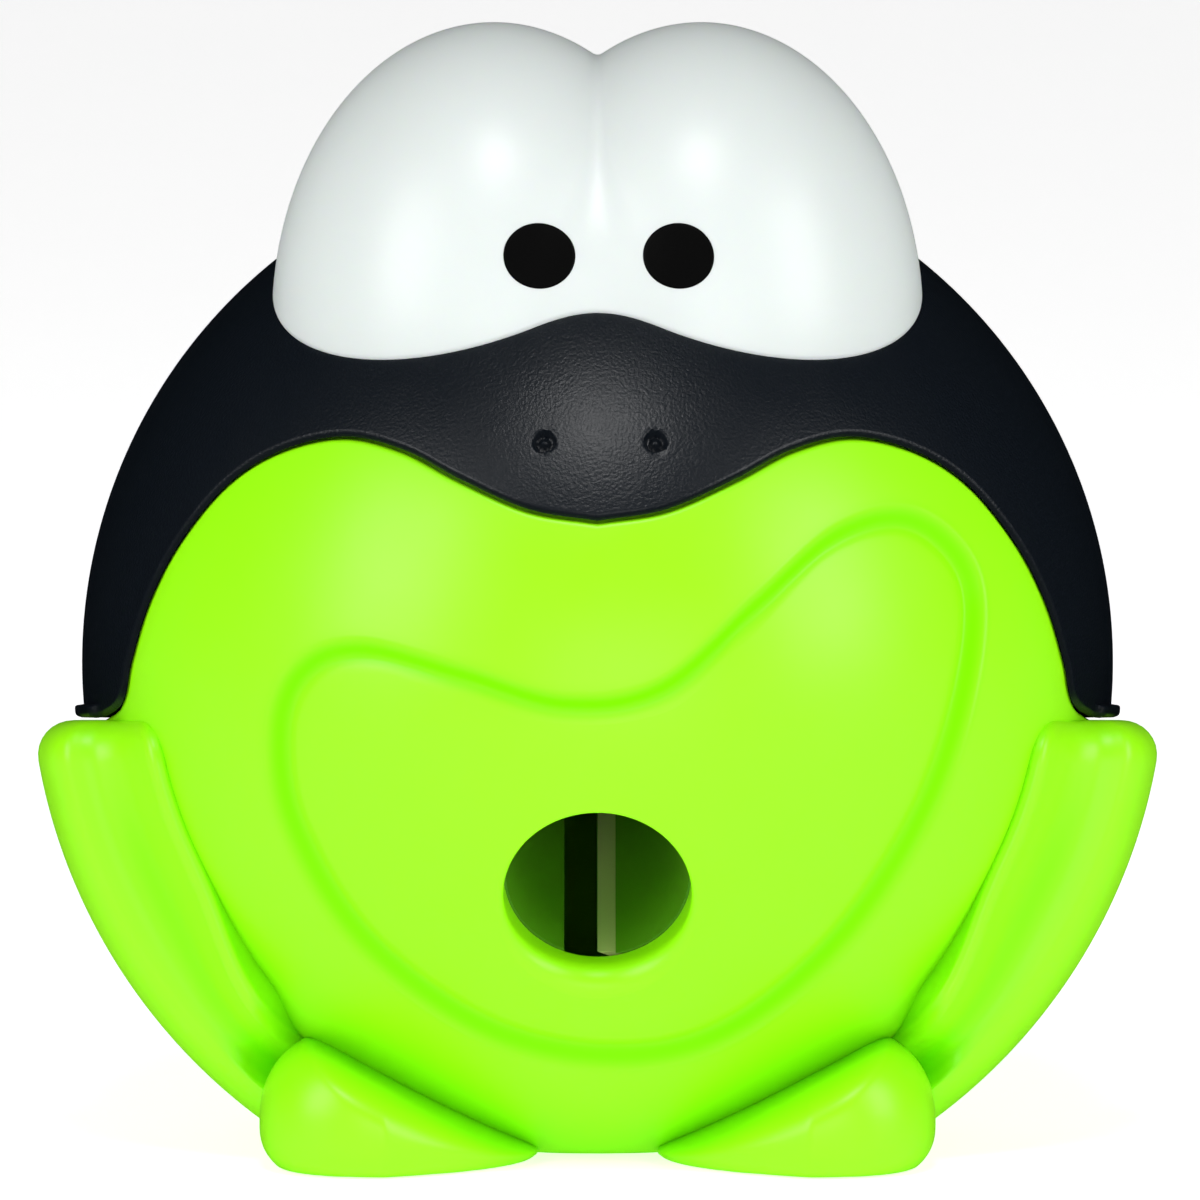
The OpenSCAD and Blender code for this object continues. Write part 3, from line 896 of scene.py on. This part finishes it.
    def ring(self) -> Skin:
        """The open collar that holds the sharpener's spigot: an eased rectangle swept round the bore."""
        low, high = self.ring_s, self.seat_s + 0.5
        inner, outer, ease = self.ring_r, self.ring_r + self.ring_t, 0.15
        r = np.array([inner, inner + ease, outer - ease, outer, outer, inner])
        s = np.array([low + ease, low, low, low + ease, high, high])
        turn = np.linspace(-self.ring_turn, self.ring_turn, 80)[:, None]
        rows = self.in_bore(r * np.sin(turn), r * np.cos(turn), s + 0 * turn)
        return Skin.grid(rows, caps=(True, True)).outward()

    def hook(self, side: Side) -> Skin:
        """One snap hook: an L-shaped outline carried across the bore.

        Args:
            side: Left or right.

        Returns:
            The surface.
        """
        x, s, t, lip = self.hook_x, self.hook_s, self.hook_t, self.hook_lip
        root = s + self.hook_l
        outline = np.array([[x - lip, s], [x + t, s], [x + t, root], [x, root], [x, s + lip],
                            [x - lip, s + lip]])
        skin = extruded(outline, -self.hook_half, self.hook_half)
        skin.points = self.in_bore(side.value * skin.points[:, 1], skin.points[:, 0], skin.points[:, 2])
        return skin.outward()

    def peg(self, degrees: float) -> Skin:
        """One boss behind the seam with the peg that enters the back half.

        Args:
            degrees: Its place round the seam, from +X.

        Returns:
            The surface.
        """
        turn = math.radians(degrees)
        place = np.array([math.cos(turn), 0.0, math.sin(turn)]) * self.boss_place
        return revolved(np.array(self.boss), place + [0, self.ball.seam_y, 0], np.array([0.0, 1, 0]))

    def build(self) -> None:
        """Builds and dresses the moulding."""
        skins = [self.face(), self.ring()]
        skins += [self.hook(side) for side in Side] + [self.peg(turn) for turn in self.boss_turns]
        shell = Skin.joined(skins).obj("front_face", LIME, Body.BASE, "body_green")
        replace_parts(shell, "front_shell")
        for side in Side:
            self.arm(side).obj(f"arm_{side.name.lower()}", LIME, Body.BASE, "body_green")
            self.foot(side).obj(f"foot_{side.name.lower()}", LIME, Body.BASE, "body_green")


# ---- head ----


@dataclass
class Hood:
    """The black hood: a thin ball with the brow's opening, a rim, nostrils and hinge knuckles."""

    nostrils: tuple[tuple[float, float], ...] = ((-2.55, 10.6), (2.79, 10.6))
    nostril_r: float = 0.62
    rim_out: float = 0.45
    edge_r: float = 0.25
    hinge_back: float = 26.9
    knuckle_r: float = 1.8
    pin_hole_r: float = 0.84
    knuckle_from: float = 4.3
    knuckle_l: float = 4.0
    web_in: float = 3.4
    heel_l: float = 3.3
    heel_t: float = 1.4
    heel_angle: float = -17.0
    ball: Ball = field(default_factory=Ball)

    def bearings(self) -> Array:
        """Bearings round the top, close together at the front and closest beside the nostrils."""
        u = np.linspace(-math.pi, math.pi, 4001)
        deg = np.degrees(u)
        density = 1.0 + 2.4 * (1 - smoothstep(np.abs(deg), 80, 110))
        density += 9.0 * np.exp(-(((np.abs(deg) - 6.8) / 2.2) ** 2))
        density += 1.5 * np.exp(-(((np.abs(deg) - 74) / 6) ** 2))
        total = np.cumsum(density)
        total = (total - total[0]) / (total[-1] - total[0])
        return np.interp(np.arange(540) / 540, total, u)

    def edge(self, radius: float, beta: Array) -> Array:
        """The angle from the face's top at which a sphere of the hood ends: the brow, then the rim.

        Args:
            radius: The sphere's radius.
            beta: The bearings round the top.

        Returns:
            The angle at each bearing.
        """
        b = self.ball
        brow = LINES.brow_side(0.0)
        brow = on_face(brow[np.hypot(brow[:, 0], brow[:, 1]) < radius - 0.25], radius)
        last = float(np.arctan2(brow[-1, 0], -brow[-1, 1]))
        flat = math.sqrt(radius**2 - b.part_z**2)
        turn = np.linspace(last + 0.012, math.pi, 200)
        rim = np.stack([flat * np.sin(turn), -flat * np.cos(turn), np.full(200, b.part_z)], axis=-1)
        return TOP_POLE.curve(both_sides(np.concatenate([brow, rim])), beta)

    def shell(self) -> Skin:
        """The closed shell: rows run from the top down the outside, round the edge and up inside.

        A ring's points are directions round the face's upright axis times the radius. Each
        nostril is a dish: a smooth step of the distance from its middle, less a small bell.

        Returns:
            The surface.
        """
        b = self.ball
        beta = self.bearings()
        end = self.edge(b.hood_r, beta)
        inner_end = self.edge(b.hood_in, beta)
        grad = np.gradient(end, beta) / np.sin(end)
        wide = np.minimum(np.sqrt(1 + grad**2), 3.0) / b.hood_r
        rim = smoothstep(np.abs(np.degrees(beta)), 74.5, 76.5)
        rows = []

        def ring(theta: Array, radius: Array | float, out: Array | float = 0.0) -> None:
            """Adds a ring at a radius, pushed out level by out.

            Args:
                theta: Angles from the face's top.
                radius: Distance from the ball's middle.
                out: How far it is pushed out.
            """
            d = TOP_POLE.directions(theta, beta)
            level = np.stack([np.sin(beta), -np.cos(beta), np.zeros_like(beta)], axis=-1)
            radius, out = np.broadcast_to(radius, beta.shape), np.broadcast_to(out, beta.shape)
            rows.append(d * radius[:, None] + level * out[:, None])

        stop = end - 1.0 * wide
        u = np.linspace(0, 1, 1001)
        density = 1.0 + 4.0 * np.exp(-(((u - 0.916) / 0.022) ** 2)) + 1.0 * smoothstep(u, 0.9, 1.0)
        total = np.cumsum(density)
        for t in np.interp(np.linspace(0, 1, 92)[1:], (total - total[0]) / (total[-1] - total[0]), u):
            ring(stop * t, b.hood_r)
        e = self.edge_r
        for d, sink, out in ((0.86, 0, 0), (0.74, 0, 0), (0.66, 0, 0), (0.61, 0, 0.75), (0.55, 0, 0.95),
                             (0.45, 0, 1), (0.3, 0, 1), (e, 0, 1), (0.14, 0.06, 1), (0.06, 0.13, 0.85),
                             (0.0, e, 0.6)):
            ring(end - d * wide, b.hood_r - sink * (1 - rim) - 0.4 * sink * rim, self.rim_out * out * rim)
        for t in (0.25, 0.5, 0.75):
            radius = b.hood_r - e + (b.hood_in - b.hood_r + e) * t
            ring(end + (inner_end - end) * t, radius, self.rim_out * 0.6 * rim * (1 - t))
        for t in eased(36, 0.3)[:-1]:
            ring(inner_end * (1 - t), b.hood_in)
        points = np.stack(rows)
        for x, v in self.nostrils:
            middle = on_face(np.array([[x, v]]), b.hood_r)[0]
            away = np.linalg.norm(points - middle, axis=-1)
            r = self.nostril_r
            depth = 0.45 * (1 - smoothstep(away, 0.55 * r, 1.05 * r)) - 0.34 * np.exp(-((away / 0.22) ** 2))
            unit = points / np.linalg.norm(points, axis=-1, keepdims=True)
            outside = np.linalg.norm(points, axis=-1, keepdims=True) > b.hood_r - 0.2
            points = points - unit * depth[..., None] * outside
        ends = from_face(np.array([[0, 0, b.hood_r], [0, 0, b.hood_in]]))
        return Skin.poled(from_face(points), ends[0], ends[1]).outward()

    def knuckle(self, side: Side) -> Skin:
        """One outer hinge knuckle with the web that joins it to the hood and the heel that stops it.

        Its outline is told from the pin: in each direction it reaches to the farthest of the
        round knuckle, the web's box and the heel's box.

        Args:
            side: Left or right.

        Returns:
            The surface.
        """
        turn = np.linspace(0, 2 * math.pi, 180, endpoint=False)
        c, s = np.cos(turn), np.sin(turn)

        def box(along: Array, length: float, across: Array, half: float) -> Array:
            """Distance to the end or the side of a box that starts at the pin, or none behind it."""
            return np.minimum(length / np.maximum(along, 1e-6), half / np.maximum(across, 1e-6))

        web = np.where((c < 0) & (s > 0), box(-c, self.web_in, s, self.knuckle_r), 0.0)
        lean = turn - math.radians(self.heel_angle)
        ahead = np.cos(lean)
        heel = np.where(ahead > 0, box(ahead, self.heel_l, np.abs(np.sin(lean)), self.heel_t / 2), 0.0)
        reach = np.maximum(np.maximum(web, heel), self.knuckle_r)
        outline = np.stack([reach * c, reach * s], axis=-1)
        hole = self.pin_hole_r * np.stack([c, s], axis=-1)
        low, high = self.knuckle_from, self.knuckle_from + self.knuckle_l
        skin = extruded(outline, low, high, hole, bevel=0.2)
        skin.points = from_face(skin.points * [side.value, 1, 1] + [0, self.hinge_back, self.ball.part_z])
        return skin.outward()

    def build(self) -> None:
        """Builds and dresses the hood."""
        skin = Skin.joined([self.shell()] + [self.knuckle(side) for side in Side])
        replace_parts(skin.obj("hood_skin", BLACK, Body.HEAD, "hood_black"), "hood")


@dataclass
class Eyes:
    """The white double dome and its two pupils."""

    radius: float = 10.7
    height: float = 14.28
    apart: float = 5.0
    front: float = 8.5
    up: float = 16.6
    wall: float = 1.3
    seat: float = 25.03
    edge_r: float = 0.25
    pupil_r: float = 1.66
    pupils: tuple[tuple[str, float, float], ...] = (("left", -2.75, 19.55), ("right", 3.9, 19.55))
    peg_lean: float = 16.0
    peg_ahead: float = 18.0
    peg_shape: tuple[tuple[float, float], ...] = (
        (1.7, 22.8), (1.9, 23.0), (1.9, 23.4), (1.7, 23.6), (1.1, 23.6), (1.1, 25.6))

    def middle(self) -> Array:
        """The point between the domes that the skin is measured from, in the face's frame."""
        return np.array([0.0, -self.front, self.up])

    def reach(self, direction: Array) -> Array:
        """Distance from the middle to the skin, in the face's frame.

        Each dome is an egg: the distance is the larger root of the quadratic that puts the point
        on it. The skin is the farther of the two, and the crease between them is filled softly,
        more so lower down.

        Args:
            direction: Unit vectors in the face's frame.

        Returns:
            The distance along each.
        """
        size = np.array([self.radius, self.radius, self.height])
        d = direction / size
        found = []
        for side in Side:
            o = np.array([-side.value * self.apart, 0.0, 0.0]) / size
            a = np.sum(d * d, axis=-1)
            b = d @ o
            c = float(o @ o) - 1
            found.append((-b + np.sqrt(b * b - a * c)) / a)
        soft = 0.35 + 2.4 * (1 - smoothstep(direction[..., 2], 0.1, 0.95))
        return -soft_min(-found[0], -found[1], soft)

    def pole(self) -> tuple[Array, Array]:
        """The axis from the ball's middle through the domes' middle, and the direction across it."""
        axis = self.middle() / np.linalg.norm(self.middle())
        return axis, np.cross(np.array([1.0, 0, 0]), axis)

    def directions(self, alpha: Array, beta: Array) -> Array:
        """Unit vectors at angle alpha from the domes' axis and bearing beta round it."""
        axis, up = self.pole()
        return Pole(tuple(axis), tuple(up)).directions(alpha, beta)

    def skin(self) -> Skin:
        """The closed shell: rows run from the crown out to the edge on the hood, and back inside.

        The edge is where the distance from the ball's middle equals the hood's radius, found by
        halving the angle's range again and again for all bearings at once.

        Returns:
            The surface.
        """
        beta = np.linspace(-math.pi, math.pi, 480, endpoint=False)
        low, high = np.full(480, 0.3), np.full(480, 2.6)
        middle = self.middle()
        for _ in range(40):
            half = (low + high) / 2
            d = self.directions(half, beta)
            outside = np.linalg.norm(middle + d * self.reach(d)[:, None], axis=-1) > self.seat
            low, high = np.where(outside, half, low), np.where(outside, high, half)
        end = low
        rows = []

        def ring(alpha: Array, sink: float) -> None:
            """Adds a ring, sunk below the skin."""
            d = self.directions(alpha, beta)
            rows.append(middle + d * (self.reach(d) - sink)[:, None])

        d_end = self.directions(end, beta)
        span = 1.0 / self.reach(d_end)
        for t in eased(104, 0.25)[1:]:
            ring((end - self.edge_r * 1.3 * span) * t, 0.0)
        for t in np.linspace(0, math.pi / 2, 8)[1:]:
            ring(end - self.edge_r * 1.3 * (1 - math.sin(t)) * span, self.edge_r * (1 - math.cos(t)))
        for t in eased(30, 0.2)[:-1]:
            ring(end * (1 - t), self.wall)
        crown = self.directions(np.zeros(1), np.zeros(1))[0]
        tip = float(self.reach(crown[None])[0])
        points = from_face(np.stack(rows))
        outside, inside = middle + crown * tip, middle + crown * (tip - self.wall)
        return Skin.poled(points, from_face(outside), from_face(inside)).outward()

    def pupil(self, x: float, v: float) -> Skin:
        """One pupil: a thin disc that follows the dome, with a rounded edge.

        Rings of a disc in the front view are turned into directions, and each takes the skin's
        distance plus a small height that falls off at the edge.

        Args:
            x: Sideways place of its middle.
            v: Height of its middle.

        Returns:
            The surface.
        """
        turn = np.linspace(0, 2 * math.pi, 96, endpoint=False)
        middle = self.middle()
        side = math.copysign(1.0, x)
        up = (v - self.up) / self.height
        depth = self.radius * math.sqrt(1 - up**2 - ((x - side * self.apart) / self.radius) ** 2)

        def ring(radius: float, height: float) -> Array:
            """A ring of the disc at a height over the skin.

            Args:
                radius: The ring's radius in the front view.
                height: Its height over the skin.

            Returns:
                The ring's points.
            """
            level = v - self.up + radius * np.sin(turn)
            d = np.stack([x + radius * np.cos(turn), np.full(96, -depth), level], axis=-1)
            d = d / np.linalg.norm(d, axis=-1, keepdims=True)
            return middle + d * (self.reach(d) + height)[:, None]

        r = self.pupil_r
        rows = [ring(r * t, 0.06) for t in np.linspace(0.08, 0.93, 12)]
        rows += [ring(r * 0.97, 0.052), ring(r * 0.99, 0.035), ring(r, 0.01), ring(r, -0.3)]
        rows += [ring(r * t, -0.3) for t in np.linspace(0.9, 0.08, 6)]
        points = from_face(np.stack(rows))
        return Skin.poled(points, points[0].mean(axis=0), points[-1].mean(axis=0)).outward()

    def peg(self, side: Side) -> Skin:
        """One staked peg: a shaft through the hood that ends in a flat head inside.

        Args:
            side: Left or right.

        Returns:
            The surface.
        """
        lean, ahead = math.radians(self.peg_lean), math.radians(self.peg_ahead)
        upright = np.array([0.0, -math.sin(ahead), math.cos(ahead)])
        axis = upright * math.cos(lean) + np.array([side.value * math.sin(lean), 0.0, 0.0])
        return revolved(np.array(self.peg_shape), np.zeros(3), from_face(axis))

    def build(self) -> None:
        """Builds and dresses the domes and the pupils."""
        dome = Skin.joined([self.skin()] + [self.peg(side) for side in Side])
        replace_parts(dome.obj("eye_skin", WHITE, Body.HEAD, "eye_white"), "eye_shell")
        for name, x, v in self.pupils:
            disc = self.pupil(x, v).obj(f"pupil_disc_{name}", INK, Body.HEAD, "pupil_black")
            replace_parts(disc, f"pupil_{name}")


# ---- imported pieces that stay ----


@dataclass(frozen=True)
class Works:
    """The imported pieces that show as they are, with their finishes."""

    finishes: tuple[tuple[str, Finish, str], ...] = (
        ("back_shell", LIME, "body_green"), ("sharpener_block", LIME_BLOCK_SHADED, "block_green"),
        ("blade", STEEL_PAINTED_REFLECTION, "blade_steel"), ("blade_screw", ZINC, "screw_steel"),
        ("hinge_pin", ZINC, "screw_steel"))

    def build(self) -> None:
        """Dresses each piece."""
        for name, finish, slot in self.finishes:
            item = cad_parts[name]
            item.data.materials.clear()
            item.data.materials.append(finish.material())
            LOG.info("%s: dressed as %s", name, finish.name)


# ---- studio ----


@dataclass(frozen=True)
class Lamp:
    """A rectangular soft light: where it stands, what it looks at, its size and its power."""

    name: str
    place: tuple[float, float, float]
    aim: tuple[float, float, float]
    size: tuple[float, float]
    power: float

    def add(self) -> None:
        """Adds the light, its face turned to its aim."""
        data = bpy.data.lights.new(self.name, "AREA")
        data.shape = "RECTANGLE"
        data.size, data.size_y = self.size
        data.energy = self.power
        lamp = bpy.data.objects.new(self.name, data)
        bpy.context.scene.collection.objects.link(lamp)
        lamp.location = self.place
        gaze = Vector(self.aim) - Vector(self.place)
        lamp.rotation_euler = gaze.to_track_quat("-Z", "Y").to_euler()


@dataclass(frozen=True)
class Studio:
    """A pale sweep, soft lights and the camera."""

    distance: float = 1.6
    elevation: float = 7.0
    seen_width: float = 0.0582
    aim_x: float = 0.00012
    aim_up: float = 3.0
    sensor: float = 36.0
    sky: float = 0.14
    floor_from: float = -3.5
    floor_half: float = 3.5
    floor_sink: float = 0.00005
    curve_r: float = 1.0
    curve_at: float = 2.6
    wall_top: float = 3.5
    lamps: tuple[Lamp, ...] = (
        Lamp("key_left", (-0.34, -0.28, 0.22), (0, 0, 0.025), (0.22, 0.3), 1.08),
        Lamp("key_right", (0.36, -0.24, 0.2), (0, 0, 0.025), (0.18, 0.3), 0.95),
        Lamp("front_low", (0.05, -0.5, 0.08), (0, 0, 0.02), (0.3, 0.12), 0.33),
        Lamp("top", (0.0, -0.2, 0.36), (0, 0, 0.03), (0.1, 0.08), 0.45),
    )

    def sweep(self) -> None:
        """A floor that curves up into a wall: a flat run, a quarter circle and a rise."""
        turn = np.linspace(0, math.pi / 2, 24)
        radius, back, low = self.curve_r, self.curve_at, -self.floor_sink
        run = np.array([[self.floor_from, low], [0.0, low]])
        curve = np.stack([back + radius * np.sin(turn), low + radius * (1 - np.cos(turn))], axis=-1)
        wall = np.array([[back + radius, self.wall_top]])
        line = np.concatenate([run, curve, wall])
        x = np.linspace(-self.floor_half, self.floor_half, 7)
        grid = np.stack([np.broadcast_to(x[None, :], (len(line), 7)),
                         np.broadcast_to(line[:, :1], (len(line), 7)),
                         np.broadcast_to(line[:, 1:], (len(line), 7))], axis=-1)
        skin = Skin.grid(grid, wrap_columns=False)
        mesh = skin.mesh("sweep", skin.points)
        mesh.materials.append(PAPER.material())
        item = bpy.data.objects.new("sweep", mesh)
        bpy.context.scene.collection.objects.link(item)
        item.visible_glossy = False

    def build(self) -> None:
        """Sets up the sweep, the lights, the sky and the camera."""
        self.sweep()
        for lamp in self.lamps:
            lamp.add()
        world = bpy.data.worlds.new("sky")
        world.use_nodes = True
        light = world.node_tree.nodes["Background"].inputs
        light["Color"].default_value = (1.0, 1.0, 1.0, 1.0)
        light["Strength"].default_value = self.sky
        scene = bpy.context.scene
        scene.world = world
        world.cycles_visibility.glossy = False
        scene.view_settings.view_transform = "Standard"
        lift = math.radians(self.elevation)
        aim = Vector((self.aim_x, 0.0, BALL.centre_h * MM))
        aim += Vector((0.0, math.sin(lift), math.cos(lift))) * self.aim_up * MM
        back = Vector((0.0, -math.cos(lift), math.sin(lift)))
        data = bpy.data.cameras.new("camera")
        data.sensor_width = self.sensor
        data.lens = self.sensor * self.distance / self.seen_width
        data.clip_start, data.clip_end = 0.05, 10.0
        camera = bpy.data.objects.new("camera", data)
        scene.collection.objects.link(camera)
        camera.location = aim + back * self.distance
        camera.rotation_euler = (-back).to_track_quat("-Z", "Y").to_euler()
        scene.camera = camera


def main() -> None:
    """Builds every piece in order."""
    logging.basicConfig(level=logging.INFO, format="%(name)s: %(message)s")
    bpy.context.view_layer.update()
    for part in (FrontShell(), Hood(), Eyes(), Works(), Studio()):
        LOG.info("building %s", type(part).__name__)
        part.build()


if __name__ == "__main__":
    main()
